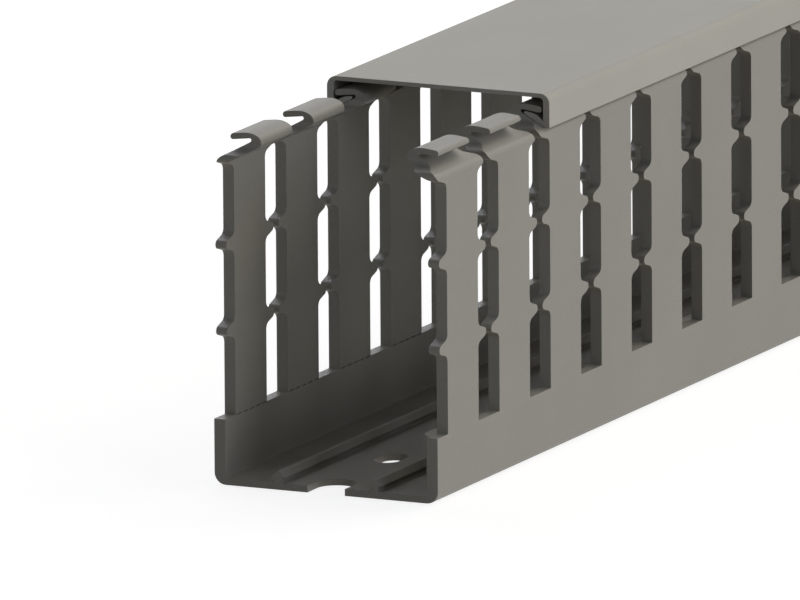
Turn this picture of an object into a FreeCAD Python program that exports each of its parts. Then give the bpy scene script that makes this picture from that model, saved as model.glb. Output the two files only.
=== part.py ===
import FreeCAD, Part
import math
import os

# Slotted wire duct with a clip-fit cover. Millimetres, +Z up.
# The length runs along Y, with the front end towards -Y. The origin is the middle of
# the underside.

# Overall sizes
length = 500.0
duct_width = 40.6
duct_height = 60.5
cover_setback = 44.05

# Duct body: walls and floor
wall = 2.0
floor = 1.15
bottom_radius = 2.0
inner_radius = 0.3

# Arrow-headed ribs on the floor
rib_offset = 8.7
rib_height = 1.9
rib_stem_width = 1.5
rib_head_width = 2.45
rib_crown_width = 0.6
rib_undercut = 0.95
rib_foot = 0.2

# Wall slots, open at the top, with rounded teeth that hold the wires
slot_pitch = 20.0
slot_width = 8.1
slot_floor = 11.0
top_tooth_rise = 0.15
tooth_rows = 3
tooth_gap = 2.0
tooth_nose = 0.5
tooth_slope = 0.33
tooth_root = (0.56, 0.8)

# Hooks along the wall tops
hook_drop = 6.2
hook_angle = 28.5
hook_neck = 1.45
lip_thickness = 1.02
lip_angle = 7.0
lip_inset = 1.43
lip_round = 0.28
mouth_inset = 5.23
mouth_round = 0.5
mouth_height = 0.76
bulge_inset = 7.03
bulge_round = (2.53, 1.6)
bulge_steps = 3
bulge_foot = 0.45

# Base perforation: long and short holes in turn on the centreline
base_pitch = 25.0
long_hole = (14.6, 6.8)
short_hole = (7.5, 4.4)

# Cover
cover_side = 1.15
cover_top = 0.7
cover_radius = 1.4
cover_inner_radius = 0.6
cover_edge_inset = 0.85
cover_edge_radius = 0.2
cover_lip_inset = 4.6
cover_lip_tip = 0.45
cover_lip_root = 0.96
cover_bend_inset = 2.55
cover_bend_gap = 0.11
cover_bend_radius = 2.0
clip_clearance = 0.1

half_width = duct_width / 2
front = -length / 2
hook_slope = math.tan(math.radians(hook_angle))
lip_slope = math.tan(math.radians(lip_angle))


def hook_line(inset, offset=0.0):
    # Height of the hook's outer slope at a distance in from the outer face
    rise = offset / math.cos(math.radians(hook_angle))
    return duct_height - hook_drop + inset * hook_slope + rise


def lip_line(inset):
    # Height of the underside of the hook's lip, over the mouth that takes the cover
    mouth_start = mouth_inset - mouth_round
    return hook_line(mouth_start) + mouth_height + (inset - mouth_start) * lip_slope


def corner_round(before, here, after, radius):
    to_before = (before - here).normalize()
    to_after = (after - here).normalize()
    half_angle = to_before.getAngle(to_after) / 2
    reach = radius / math.tan(half_angle)
    start = here + to_before * reach
    end = here + to_after * reach
    inward = (to_before + to_after).normalize()
    middle = here + inward * (radius / math.sin(half_angle) - radius)
    return start, middle, end


def closed_face(corners, across, along):
    # Corners are (across, along, radius); a radius of 0 leaves the corner sharp
    points = [across * c[0] + along * c[1] for c in corners]
    starts = []
    ends = []
    rounds = []
    for i, corner in enumerate(corners):
        here = points[i]
        start = here
        end = here
        if corner[2] > 0:
            before = points[i - 1]
            after = points[(i + 1) % len(points)]
            start, middle, end = corner_round(before, here, after, corner[2])
            rounds.append((i, Part.Arc(start, middle, end).toShape()))
        starts.append(start)
        ends.append(end)
    arcs = dict(rounds)
    edges = []
    for i in range(len(points)):
        if i in arcs:
            edges.append(arcs[i])
        following = (i + 1) % len(points)
        if ends[i].distanceToPoint(starts[following]) > 1e-6:
            edges.append(Part.makeLine(ends[i], starts[following]))
    return Part.Face(Part.Wire(edges))


def mirrored(corners):
    # Whole outline from its right half, which runs from the centre round to the centre
    left = [(-a, b, r) for a, b, r in reversed(corners)]
    return corners + left


def section_face(half_corners):
    x_axis = FreeCAD.Vector(1, 0, 0)
    z_axis = FreeCAD.Vector(0, 0, 1)
    return closed_face(mirrored(half_corners), x_axis, z_axis)


def hook_corners():
    # From the outer face of the wall over the hook to the inner face
    under = lip_line(lip_inset)
    over = under + lip_thickness
    mouth_start = mouth_inset - mouth_round
    bulge_length, bulge_height = bulge_round
    crest_inset = bulge_inset - bulge_length
    crest = lip_line(crest_inset) + lip_thickness
    points = [
        (0.0, hook_line(0)),
        (mouth_start, hook_line(mouth_start)),
        (mouth_inset, hook_line(mouth_start) + mouth_height / 2),
        (mouth_start, lip_line(mouth_start)),
        (lip_inset + lip_round, under),
        (lip_inset, under + lip_round),
        (lip_inset, over - lip_round),
        (lip_inset + lip_round, over),
    ]
    for step in range(bulge_steps + 1):
        turn = step / bulge_steps * math.pi / 2
        inset = crest_inset + bulge_length * math.sin(turn)
        points.append((inset, crest - bulge_height * (1 - math.cos(turn))))
    foot_inset = bulge_inset - bulge_foot
    points += [
        (foot_inset, hook_line(foot_inset, -hook_neck)),
        (wall, hook_line(wall, -hook_neck)),
    ]
    return [(half_width - a, b, 0.0) for a, b in points]


def rib_corners():
    # Right rib, from its outer side over the arrow head to its inner side
    undercut = floor + rib_undercut
    crown = floor + rib_height
    outer = [
        (rib_stem_width / 2 + rib_foot, floor),
        (rib_stem_width / 2, floor + rib_foot),
        (rib_stem_width / 2, undercut),
        (rib_head_width / 2, undercut),
        (rib_crown_width / 2, crown),
    ]
    right = [(rib_offset + a, b, 0.0) for a, b in outer]
    left = [(rib_offset - a, b, 0.0) for a, b in reversed(outer)]
    return right + left


def duct_section():
    corners = [(half_width, 0.0, bottom_radius)]
    corners += hook_corners()
    corners += [(half_width - wall, floor, inner_radius)]
    corners += rib_corners()
    return section_face(corners)


def tooth_profile(height):
    # Right tooth as seen in the slot, from its lower root to its upper root
    straight = slot_width / 2
    root_length, root_height = tooth_root
    flank_rise = tooth_nose + (straight - root_length - tooth_gap / 2) * tooth_slope
    half = [
        (tooth_gap / 2, tooth_nose),
        (straight - root_length, flank_rise),
        (straight, flank_rise + root_height),
    ]
    lower = [(a, height - b) for a, b in reversed(half)]
    upper = [(a, height + b) for a, b in half]
    return lower + upper


def slot_outline():
    # Right half of the slot from its floor up past the hooks
    highest = hook_line(0) + top_tooth_rise
    rise = (highest - slot_floor) / tooth_rows
    points = [(slot_width / 2, slot_floor)]
    for row in range(1, tooth_rows + 1):
        points += tooth_profile(slot_floor + row * rise)
    points.append((slot_width / 2, duct_height))
    return points


def slot_cutter():
    y_axis = FreeCAD.Vector(0, 1, 0)
    z_axis = FreeCAD.Vector(0, 0, 1)
    right = [(a, b, 0.0) for a, b in slot_outline()]
    face = closed_face(mirrored(right), y_axis, z_axis)
    reach = half_width + 5
    cutter = face.extrude(FreeCAD.Vector(2 * reach, 0, 0))
    cutter.translate(FreeCAD.Vector(-reach, 0, 0))
    return cutter


def oblong_cutter(size):
    # Round-ended hole through the floor, long along the duct
    long_size, width = size
    x_axis = FreeCAD.Vector(1, 0, 0)
    y_axis = FreeCAD.Vector(0, 1, 0)
    radius = width / 2
    straight = long_size / 2 - radius
    lower = FreeCAD.Vector(0, -straight, 0)
    upper = FreeCAD.Vector(0, straight, 0)
    side = x_axis * radius
    tip = y_axis * radius
    edges = [
        Part.makeLine(lower + side, upper + side),
        Part.Arc(upper + side, upper + tip, upper - side).toShape(),
        Part.makeLine(upper - side, lower - side),
        Part.Arc(lower - side, lower - tip, lower + side).toShape(),
    ]
    face = Part.Face(Part.Wire(edges))
    cutter = face.extrude(FreeCAD.Vector(0, 0, 3 * floor))
    cutter.translate(FreeCAD.Vector(0, 0, -floor))
    return cutter


def repeated(shape, pitch):
    # Copies at every pitch from the front end to the rear end
    copies = []
    for i in range(int(length / pitch + 1e-6) + 1):
        copy = shape.copy()
        copy.translate(FreeCAD.Vector(0, front + i * pitch, 0))
        copies.append(copy)
    return copies


def profile(face, start):
    # Extruded length of a section, from its front end
    solid = face.extrude(FreeCAD.Vector(0, length, 0))
    solid.translate(FreeCAD.Vector(0, start, 0))
    return solid


def duct_body():
    body = profile(duct_section(), front)
    cutters = repeated(slot_cutter(), slot_pitch)
    cutters += repeated(oblong_cutter(long_hole), 2 * base_pitch)
    short = oblong_cutter(short_hole)
    short.translate(FreeCAD.Vector(0, base_pitch, 0))
    cutters += repeated(short, 2 * base_pitch)
    return body.cut(Part.makeCompound(cutters))


def cover_corners():
    # Right half from the middle of the top round the side and back along the inside
    lip_end = half_width - cover_lip_inset
    lip_under = hook_line(cover_lip_inset, clip_clearance)
    edge = hook_line(cover_edge_inset, clip_clearance)
    bend = lip_line(cover_bend_inset) - cover_bend_gap
    inner_side = half_width - cover_side
    root = hook_line(cover_side, clip_clearance) + cover_lip_root
    return [
        (half_width, duct_height, cover_radius),
        (half_width, edge, cover_edge_radius),
        (half_width - cover_edge_inset, edge, cover_edge_radius),
        (lip_end, lip_under, cover_edge_radius),
        (lip_end, lip_under + cover_lip_tip, cover_edge_radius),
        (half_width - cover_bend_inset, bend, cover_bend_radius),
        (inner_side, root, 0.0),
        (inner_side, duct_height - cover_top, cover_inner_radius),
    ]


def cover():
    return profile(section_face(cover_corners()), front + cover_setback)


os.makedirs("parts", exist_ok=True)
duct_body().exportStep("parts/duct_body.step")
cover().exportStep("parts/cover.step")
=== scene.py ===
import bpy
import bmesh
import math
from mathutils import Matrix, Vector


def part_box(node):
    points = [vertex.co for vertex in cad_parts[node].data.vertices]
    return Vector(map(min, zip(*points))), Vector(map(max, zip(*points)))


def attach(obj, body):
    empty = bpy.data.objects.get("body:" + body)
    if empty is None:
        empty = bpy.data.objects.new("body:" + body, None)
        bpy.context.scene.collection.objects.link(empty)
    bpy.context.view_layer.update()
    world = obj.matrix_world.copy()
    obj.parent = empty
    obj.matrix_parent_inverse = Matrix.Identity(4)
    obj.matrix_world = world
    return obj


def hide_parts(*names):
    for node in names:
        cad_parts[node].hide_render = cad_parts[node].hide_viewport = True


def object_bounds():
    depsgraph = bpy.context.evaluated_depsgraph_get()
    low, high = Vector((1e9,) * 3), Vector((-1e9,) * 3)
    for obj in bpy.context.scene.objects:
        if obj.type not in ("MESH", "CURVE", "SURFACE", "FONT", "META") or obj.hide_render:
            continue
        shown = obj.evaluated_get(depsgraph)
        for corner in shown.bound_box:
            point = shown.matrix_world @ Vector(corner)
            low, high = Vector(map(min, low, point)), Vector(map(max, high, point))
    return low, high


# Slotted wire duct with its clip-fit cover slid back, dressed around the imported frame

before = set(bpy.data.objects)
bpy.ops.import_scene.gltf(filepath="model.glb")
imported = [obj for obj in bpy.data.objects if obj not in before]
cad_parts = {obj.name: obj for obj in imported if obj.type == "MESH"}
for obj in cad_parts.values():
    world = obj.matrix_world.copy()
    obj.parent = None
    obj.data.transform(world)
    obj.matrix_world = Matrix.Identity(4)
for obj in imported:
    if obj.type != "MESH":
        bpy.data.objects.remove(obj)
cadLow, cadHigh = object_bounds()
ductLow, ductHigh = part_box("duct_body")
coverLow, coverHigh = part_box("cover")
mm = 0.001  # sizes of the pieces are in mm, meshes in metres
overcut = 2.0  # mm that a cutter runs past what it cuts
roundSteps = [(0.5, 4), (2.5, 6), (math.inf, 12)]  # rounds below each reach in mm get these steps
xAxis, yAxis, zAxis = Vector((1, 0, 0)), Vector((0, 1, 0)), Vector((0, 0, 1))


# Helpers

def outline(corners, across, along):
    # A flat face from (across, along, reach) corners in mm; reach rounds the corner off
    shape = bmesh.new()
    verts = [shape.verts.new((across * a + along * b) * mm) for a, b, reach in corners]
    shape.faces.new(verts)
    for vert, (a, b, reach) in zip(verts, corners):
        if reach > 0:
            steps = next(count for limit, count in roundSteps if reach < limit)
            bmesh.ops.bevel(shape, geom=[vert], offset=reach * mm, offset_type="OFFSET",
                            affect="VERTICES", segments=steps, profile=0.5, material=-1,
                            clamp_overlap=False)
    return shape


def mirrored(corners):
    # The whole outline from its right half
    return corners + [(-a, b, r) for a, b, r in reversed(corners)]


def vertsOf(made):
    return [item for item in made["geom"] if isinstance(item, bmesh.types.BMVert)]


def thicken(shape, start, travel):
    # Extrudes the flat face along travel, beginning at start
    bmesh.ops.translate(shape, verts=shape.verts[:], vec=start)
    grown = bmesh.ops.extrude_face_region(shape, geom=shape.faces[:], use_keep_orig=True)
    bmesh.ops.translate(shape, verts=vertsOf(grown), vec=travel)
    bmesh.ops.recalc_face_normals(shape, faces=shape.faces[:])
    return shape


def extrusion(corners, low, high):
    # The section runs along Y from the low to the high corner of a box in metres
    return thicken(outline(corners, xAxis, zAxis), yAxis * low.y, yAxis * (high.y - low.y))


def repeat(shape, centres):
    # Copies the shape from the first centre to the others, which are mm along the duct
    first = shape.verts[:] + shape.edges[:] + shape.faces[:]
    for centre in centres[1:]:
        copied = bmesh.ops.duplicate(shape, geom=first)
        bmesh.ops.translate(shape, verts=vertsOf(copied), vec=yAxis * (centre - centres[0]) * mm)
    return shape


def makeObject(name, shape):
    mesh = bpy.data.meshes.new(name)
    shape.to_mesh(mesh)
    shape.free()
    obj = bpy.data.objects.new(name, mesh)
    bpy.context.scene.collection.objects.link(obj)
    return obj


def carve(obj, cutters):
    # Cuts every cutter out of obj and keeps only the result
    for cutter in cutters:
        cut = obj.modifiers.new("cut", "BOOLEAN")
        cut.operation = "DIFFERENCE"
        cut.solver = "EXACT"
        cut.object = cutter
    graph = bpy.context.evaluated_depsgraph_get()
    carved = bpy.data.meshes.new_from_object(obj.evaluated_get(graph))
    obj.modifiers.clear()
    plain = obj.data
    obj.data = carved
    bpy.data.meshes.remove(plain)
    for cutter in cutters:
        old = cutter.data
        bpy.data.objects.remove(cutter)
        bpy.data.meshes.remove(old)


def finishMesh(obj, sharpAngle=32):
    # Smooth rounds between crisp punched edges
    obj.data.shade_smooth()
    obj.data.set_sharp_from_angle(angle=math.radians(sharpAngle))
    even = obj.modifiers.new("even normals", "WEIGHTED_NORMAL")
    even.keep_sharp = True


def coat(obj, material):
    obj.data.materials.clear()
    obj.data.materials.append(material)


# Duct body

duct = dict(
    height=60.5,  # with the cover on
    wall=2.0, floor=1.15, outerRound=2.0, innerRound=0.2,
    hookDrop=6.2, hookAngle=28.5, hookRound=1.2,  # where the wall bends into the hook's slope
    hookNeck=1.45, neckRounds=(0.3, 0.08),  # under the slope, at the bulge and at the wall
    lipThickness=1.02, lipAngle=7.0, lipInset=1.43, lipRound=0.48,
    mouthInset=5.23, mouthStart=4.73, mouthHeight=0.76, mouthRound=0.32,
    crestInset=3.95, crestRound=0.5, bulgeInset=7.03, bulgeLength=2.53, bulgeHeight=1.5,
    bulgeTurn=0.586, bulgeRounds=(0.87, 0.66),  # the bulge turns in two bends
    ribOffset=8.7, ribHeight=1.9, ribStem=1.5, ribHead=2.45, ribCrown=0.6,
    ribUndercut=0.95, ribFoot=0.2, ribCrownRound=0.1,
    slotPitch=20.0, slotWidth=8.1, slotFloor=11.0, slotRound=0.12,
    toothRows=3, toothGap=2.0, toothNose=0.56, toothSlope=0.308, toothRise=0.15,
    toothTipRound=0.54, toothRootRound=0.85,
    basePitch=25.0, longHole=(14.6, 6.8), shortHole=(7.5, 4.4),
    scoreDashes=5, scoreDash=1.6, scoreStep=2.4, scoreHeight=0.22, scoreDepth=0.3,
    plastic=dict(colour=(0.234, 0.223, 0.192), mottle=0.03, speckle=0.1, roughness=0.44,
                 depth=0.8, specular=0.3),
)
halfWidth = ductHigh.x / mm
frontEnd = ductLow.y / mm
ductLength = (ductHigh.y - ductLow.y) / mm


def hookLine(inset, offset=0.0):
    # Height of the hook's outer slope at a distance in from the wall's outer face
    slope = math.radians(duct["hookAngle"])
    return duct["height"] - duct["hookDrop"] + inset * math.tan(slope) + offset / math.cos(slope)


def lipLine(inset):
    # Height of the underside of the hook's lip
    slope = math.tan(math.radians(duct["lipAngle"]))
    start = duct["mouthStart"]
    return hookLine(start) + duct["mouthHeight"] + (inset - start) * slope


def hookCorners():
    # From the wall's outer face round the mouth, the lip and the bulge to its inner face
    tip, mouth = halfWidth - duct["lipInset"], halfWidth - duct["mouthInset"]
    bulge, inner = halfWidth - duct["bulgeInset"], halfWidth - duct["wall"]
    under = lipLine(duct["lipInset"])
    crest = lipLine(duct["crestInset"]) + duct["lipThickness"]
    neck = -duct["hookNeck"]
    return [
        (halfWidth, hookLine(0), duct["hookRound"]),
        (mouth, hookLine(duct["mouthInset"]), duct["mouthRound"]),
        (mouth, lipLine(duct["mouthInset"]), duct["mouthRound"]),
        (tip, under, duct["lipRound"]),
        (tip, under + duct["lipThickness"], duct["lipRound"]),
        (halfWidth - duct["crestInset"], crest, duct["crestRound"]),
        (bulge + duct["bulgeLength"] * duct["bulgeTurn"], crest, duct["bulgeRounds"][0]),
        (bulge, crest - duct["bulgeHeight"] * duct["bulgeTurn"], duct["bulgeRounds"][1]),
        (bulge, hookLine(duct["bulgeInset"], neck), duct["neckRounds"][0]),
        (inner, hookLine(duct["wall"], neck), duct["neckRounds"][1]),
    ]


def ribCorners():
    # Right rib, from its outer side over the arrow head to its inner side
    stem, head, crown = duct["ribStem"] / 2, duct["ribHead"] / 2, duct["ribCrown"] / 2
    ledge, top = duct["floor"] + duct["ribUndercut"], duct["floor"] + duct["ribHeight"]
    half = [
        (stem, duct["floor"], duct["ribFoot"]), (stem, ledge, 0),
        (head, ledge, 0), (crown, top, duct["ribCrownRound"]),
    ]
    outer = [(duct["ribOffset"] + a, b, r) for a, b, r in half]
    return outer + [(duct["ribOffset"] - a, b, r) for a, b, r in reversed(half)]


def ductSection():
    corners = [(halfWidth, 0, duct["outerRound"])]
    corners += hookCorners()
    corners.append((halfWidth - duct["wall"], duct["floor"], duct["innerRound"]))
    return mirrored(corners + ribCorners())


def slotSection():
    # A slot with its paired teeth, seen from the side, up past the hooks
    straight, nose = duct["slotWidth"] / 2, duct["toothGap"] / 2
    flank = duct["toothNose"] + (straight - nose) * duct["toothSlope"]
    rise = (hookLine(0) + duct["toothRise"] - duct["slotFloor"]) / duct["toothRows"]
    tip, root = duct["toothTipRound"], duct["toothRootRound"]
    corners = [(straight, duct["slotFloor"], duct["slotRound"])]
    for row in range(1, duct["toothRows"] + 1):
        centre = duct["slotFloor"] + row * rise
        corners += [
            (straight, centre - flank, root), (nose, centre - duct["toothNose"], tip),
            (nose, centre + duct["toothNose"], tip), (straight, centre + flank, root),
        ]
    corners.append((straight, duct["height"] + overcut, 0))
    return mirrored(corners)


def places(pitch, first=0.0):
    # Centres every pitch along the duct, in mm, from its front end plus first
    count = int(round((ductLength - first) / pitch, 6)) + 1
    return [frontEnd + first + i * pitch for i in range(count)]


def slotCutter(centres):
    reach = (halfWidth + overcut) * mm
    start = Vector((-reach, centres[0] * mm, 0))
    shape = thicken(outline(slotSection(), yAxis, zAxis), start, xAxis * 2 * reach)
    return makeObject("slot cutter", repeat(shape, centres))


def holeCutter(size, centres):
    # Round-ended holes through the floor, long along the duct
    long, width = size
    reach = width / 2
    corners = [
        (reach, -long / 2, reach), (reach, long / 2, reach),
        (-reach, long / 2, reach), (-reach, -long / 2, reach),
    ]
    start = Vector((0, centres[0], -overcut)) * mm
    travel = zAxis * (duct["floor"] + 2 * overcut) * mm
    shape = thicken(outline(corners, xAxis, yAxis), start, travel)
    return makeObject("hole cutter", repeat(shape, centres))


def scoreCutter(centres):
    # Short dashes of the breaking line, inside each finger's root
    shape = bmesh.new()
    inner = halfWidth - duct["wall"]
    size = Vector((2 * duct["scoreDepth"], duct["scoreDash"], duct["scoreHeight"])) * mm
    for centre in centres[:-1]:
        middle = centre + duct["slotPitch"] / 2
        for side in (-1, 1):
            for dash in range(duct["scoreDashes"]):
                along = middle + (dash - (duct["scoreDashes"] - 1) / 2) * duct["scoreStep"]
                place = Vector((side * inner, along, duct["slotFloor"])) * mm
                matrix = Matrix.Translation(place) @ Matrix.Diagonal((*size, 1))
                bmesh.ops.create_cube(shape, size=1, matrix=matrix)
    return makeObject("score cutter", shape)


def makeDuct():
    body = makeObject("duct_shell", extrusion(ductSection(), ductLow, ductHigh))
    slots = places(duct["slotPitch"])
    carve(body, [
        slotCutter(slots),
        holeCutter(duct["longHole"], places(2 * duct["basePitch"])),
        holeCutter(duct["shortHole"], places(2 * duct["basePitch"], duct["basePitch"])),
        scoreCutter(slots),
    ])
    finishMesh(body)
    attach(body, "duct")
    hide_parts("duct_body")
    return body


# Cover

cover = dict(
    side=1.15, top=0.7, outerRound=1.65, innerRound=0.7, clearance=0.1,
    edgeInset=0.85, edgeGap=0.02, edgeRounds=(0.14, 0.03),
    lipInset=4.6, lipTip=0.45, lipRound=0.2, lipRoot=0.82, rootRound=0.12,
    bendInset=2.5, bendGap=0.36, bendRound=0.75,
    plastic=dict(colour=(0.372, 0.358, 0.313), mottle=0.03, speckle=0.06, roughness=0.5,
                 depth=0.3, specular=0.22),
)


def coverSection():
    # From the top round the side and the lip in the hook's mouth, back along the inside
    lipEnd = halfWidth - cover["lipInset"]
    lipUnder = hookLine(cover["lipInset"], cover["clearance"])
    edge = hookLine(cover["edgeInset"], cover["edgeGap"])
    inner = halfWidth - cover["side"]
    bend = lipLine(cover["bendInset"]) - cover["bendGap"]
    root = hookLine(cover["side"], cover["clearance"]) + cover["lipRoot"]
    top = duct["height"]
    return mirrored([
        (halfWidth, top, cover["outerRound"]),
        (halfWidth, edge, cover["edgeRounds"][0]),
        (halfWidth - cover["edgeInset"], edge, cover["edgeRounds"][1]),
        (lipEnd, lipUnder, cover["lipRound"]),
        (lipEnd, lipUnder + cover["lipTip"], cover["lipRound"]),
        (halfWidth - cover["bendInset"], bend, cover["bendRound"]),
        (inner, root, cover["rootRound"]),
        (inner, top - cover["top"], cover["innerRound"]),
    ])


def makeCover():
    shell = makeObject("cover_shell", extrusion(coverSection(), coverLow, coverHigh))
    finishMesh(shell)
    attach(shell, "lid")
    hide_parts("cover")
    return shell


# Shader nodes

def combine(tree, operation, *values):
    # A Math node; each value is a number or another node's output
    node = tree.nodes.new("ShaderNodeMath")
    node.operation = operation
    for socket, value in zip(node.inputs, values):
        if isinstance(value, bpy.types.NodeSocket):
            tree.links.new(value, socket)
        else:
            socket.default_value = value
    return node.outputs["Value"]


def remap(tree, value, before, after):
    # Turns the range before into the range after
    node = tree.nodes.new("ShaderNodeMapRange")
    node.inputs["From Min"].default_value, node.inputs["From Max"].default_value = before
    node.inputs["To Min"].default_value, node.inputs["To Max"].default_value = after
    tree.links.new(value, node.inputs["Value"])
    return node.outputs["Result"]


def noise(tree, place, scale, detail):
    node = tree.nodes.new("ShaderNodeTexNoise")
    node.inputs["Scale"].default_value = scale
    node.inputs["Detail"].default_value = detail
    tree.links.new(place, node.inputs["Vector"])
    return node.outputs["Fac"]


# Plastic

grainLook = dict(
    grainScale=2600, grainDetail=3,  # moulded grain
    lineStretch=(900, 6, 900), lineDetail=2,  # faint lines along the extrusion
    mottleScale=45, mottleDetail=4, mottleRange=(0.3, 0.7),  # broad patches of colour
    bumpDistance=0.00004, shineChange=0.06,
)


def grainGroup():
    # Fine moulded grain and faint lines along the extrusion
    group = bpy.data.node_groups.new("plastic grain", "ShaderNodeTree")
    group.interface.new_socket(name="Colour", in_out="INPUT", socket_type="NodeSocketColor")
    for name in ("Mottle", "Speckle", "Roughness", "Depth"):
        group.interface.new_socket(name=name, in_out="INPUT", socket_type="NodeSocketFloat")
    for name, kind in (("Colour", "Color"), ("Roughness", "Float"), ("Normal", "Vector")):
        group.interface.new_socket(name=name, in_out="OUTPUT", socket_type="NodeSocket" + kind)
    gather, give = group.nodes.new("NodeGroupInput"), group.nodes.new("NodeGroupOutput")
    place = group.nodes.new("ShaderNodeTexCoord").outputs["Object"]
    stretch = group.nodes.new("ShaderNodeMapping")
    stretch.inputs["Scale"].default_value = grainLook["lineStretch"]
    group.links.new(place, stretch.inputs["Vector"])
    fine = noise(group, place, grainLook["grainScale"], grainLook["grainDetail"])
    lines = noise(group, stretch.outputs["Vector"], 1, grainLook["lineDetail"])
    broad = noise(group, place, grainLook["mottleScale"], grainLook["mottleDetail"])

    # The grain and the lines stand up a little
    bump = group.nodes.new("ShaderNodeBump")
    bump.inputs["Distance"].default_value = grainLook["bumpDistance"]
    group.links.new(gather.outputs["Depth"], bump.inputs["Strength"])
    group.links.new(combine(group, "ADD", fine, lines), bump.inputs["Height"])
    group.links.new(bump.outputs["Normal"], give.inputs["Normal"])

    # Broad patches and fine speckles change the colour
    patches = remap(group, broad, grainLook["mottleRange"], (-1, 1))
    amount = combine(group, "MULTIPLY_ADD", patches, gather.outputs["Mottle"], 1)
    centred = combine(group, "SUBTRACT", fine, 0.5)
    speckled = combine(group, "MULTIPLY_ADD", centred, gather.outputs["Speckle"], amount)
    tint = group.nodes.new("ShaderNodeVectorMath")
    tint.operation = "SCALE"
    group.links.new(gather.outputs["Colour"], tint.inputs[0])
    group.links.new(speckled, tint.inputs["Scale"])
    group.links.new(tint.outputs["Vector"], give.inputs["Colour"])

    # The lines change the shine
    shine = combine(group, "MULTIPLY_ADD", lines, grainLook["shineChange"], gather.outputs["Roughness"])
    group.links.new(shine, give.inputs["Roughness"])
    return group


def plastic(name, grain, look):
    material = bpy.data.materials.new(name)
    material.use_nodes = True
    nodes, links = material.node_tree.nodes, material.node_tree.links
    shader = nodes["Principled BSDF"]
    shader.inputs["Specular IOR Level"].default_value = look["specular"]
    surface = nodes.new("ShaderNodeGroup")
    surface.node_tree = grain
    surface.inputs["Colour"].default_value = (*look["colour"], 1)
    for value in ("Mottle", "Speckle", "Roughness", "Depth"):
        surface.inputs[value].default_value = look[value.lower()]
    links.new(surface.outputs["Colour"], shader.inputs["Base Color"])
    links.new(surface.outputs["Roughness"], shader.inputs["Roughness"])
    links.new(surface.outputs["Normal"], shader.inputs["Normal"])
    return material


# Studio, in metres

studio = dict(
    floorSize=8.0, floorGap=0.0001, floorColour=(0.35, 0.35, 0.35),
    floorGlow=0.84, fadeStart=0.6, fadeEnd=1.8,  # the floor turns white away from the duct
    ambient=0.01,
    aim=(0, -0.1, 0.03),  # in the front half of the duct
    lamps=[  # place, watts, size and colour of each soft box
        ("side light", (2.5, 0.6, 0.25), 24.7, 1.2, (0.985, 1.0, 0.98)),
        ("high side light", (2.4, -0.6, 0.9), 15.5, 1.2, (0.745, 0.818, 1.0)),
        ("low side light", (1.95, -0.75, -1.6), 12.0, 1.4, (1.0, 0.92, 0.82)),
        ("top light", (0.85, 1.6, 1.8), 29.6, 1.8, (1.0, 0.949, 0.807)),
        ("top left light", (-0.8, 1.4, 2.0), 14.4, 1.8, (0.848, 0.84, 1.0)),
        ("left light", (-1.2, 1.8, 1.4), 4.2, 1.2, (0.85, 0.95, 1.0)),
        ("front light", (-1.2, -2.2, 0.8), 5.6, 1.4, (0.86, 0.93, 1.0)),
        ("rear light", (-2.6, 0.9, 0.3), 40.0, 1.2, (1.0, 0.99, 0.97)),
    ],
)


def seenDirectly(tree):
    # 1 for what the camera, a reflection or a clear surface shows, 0 for light
    path = tree.nodes.new("ShaderNodeLightPath").outputs
    either = combine(tree, "MAXIMUM", path["Is Camera Ray"], path["Is Transmission Ray"])
    return combine(tree, "MAXIMUM", either, path["Is Glossy Ray"])


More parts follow.
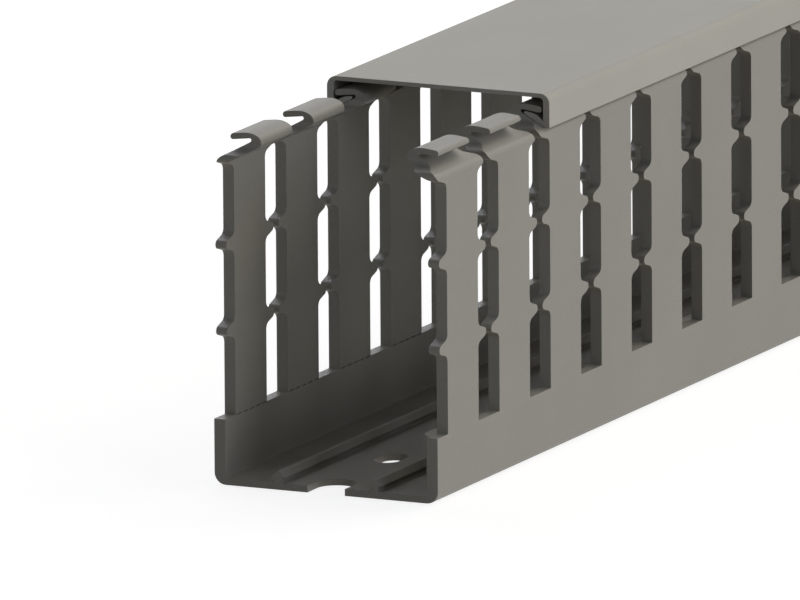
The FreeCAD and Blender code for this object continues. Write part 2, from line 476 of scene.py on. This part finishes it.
def makeFloor():
    shape = bmesh.new()
    bmesh.ops.create_grid(shape, x_segments=1, y_segments=1, size=studio["floorSize"] / 2)
    bmesh.ops.translate(shape, verts=shape.verts[:], vec=(0, 0, cadLow.z - studio["floorGap"]))
    floor = makeObject("studio_floor", shape)
    material = bpy.data.materials.new("pale floor")
    material.use_nodes = True
    tree = material.node_tree
    tree.nodes.clear()
    matt = tree.nodes.new("ShaderNodeBsdfDiffuse")
    matt.inputs["Color"].default_value = (*studio["floorColour"], 1)
    distance = tree.nodes.new("ShaderNodeVectorMath")
    distance.operation = "LENGTH"
    tree.links.new(tree.nodes.new("ShaderNodeTexCoord").outputs["Object"], distance.inputs[0])
    fade = remap(tree, distance.outputs["Value"], (studio["fadeStart"], studio["fadeEnd"]),
                 (studio["floorGlow"], 1))
    glow = tree.nodes.new("ShaderNodeEmission")
    tree.links.new(combine(tree, "MULTIPLY", seenDirectly(tree), fade), glow.inputs["Strength"])
    both = tree.nodes.new("ShaderNodeAddShader")
    tree.links.new(matt.outputs["BSDF"], both.inputs[0])
    tree.links.new(glow.outputs["Emission"], both.inputs[1])
    give = tree.nodes.new("ShaderNodeOutputMaterial")
    tree.links.new(both.outputs["Shader"], give.inputs["Surface"])
    coat(floor, material)
    floor.visible_shadow = False  # the low side light shines through it


def makeLamp(name, place, power, size, colour):
    # A square soft box that faces the duct
    light = bpy.data.lights.new(name, "AREA")
    light.energy = power
    light.shape = "SQUARE"
    light.size = size
    light.color = colour
    light.cycles.use_multiple_importance_sampling = False  # so that the floor stops none of it
    lamp = bpy.data.objects.new(name, light)
    lamp.location = place
    lamp.rotation_mode = "QUATERNION"
    lamp.rotation_quaternion = (Vector(studio["aim"]) - Vector(place)).to_track_quat("-Z", "Y")
    bpy.context.scene.collection.objects.link(lamp)


def makeWorld():
    world = bpy.data.worlds.new("studio")
    world.use_nodes = True
    tree = world.node_tree
    back = tree.nodes["Background"]
    back.inputs["Color"].default_value = (1, 1, 1, 1)
    strength = remap(tree, seenDirectly(tree), (0, 1), (studio["ambient"], 1))
    tree.links.new(strength, back.inputs["Strength"])
    bpy.context.scene.world = world


# A very long lens, because the photograph shows no perspective; metres and degrees
view = dict(
    lens=1280.0, sensor=36.0, clipEnd=100,
    place=(1.96568, -4.37381, 0.98086), turn=(78.272, 0.3798, 25.2518),
)


def makeCamera():
    lens = bpy.data.cameras.new("photo view")
    lens.lens = view["lens"]
    lens.sensor_width = view["sensor"]
    lens.clip_end = view["clipEnd"]
    camera = bpy.data.objects.new("photo view", lens)
    camera.location = view["place"]
    camera.rotation_euler = [math.radians(angle) for angle in view["turn"]]
    bpy.context.scene.collection.objects.link(camera)
    bpy.context.scene.camera = camera


bpy.context.scene.view_settings.view_transform = "Standard"
makeCamera()
makeFloor()
makeWorld()
for lamp in studio["lamps"]:
    makeLamp(*lamp)
print("studio ready")

grain = grainGroup()
print("plastic grain ready")

body = makeDuct()
coat(body, plastic("duct pvc", grain, duct["plastic"]))
print("duct ready:", len(body.data.polygons), "faces")

lid = makeCover()
coat(lid, plastic("cover pvc", grain, cover["plastic"]))
print("cover ready:", len(lid.data.polygons), "faces")
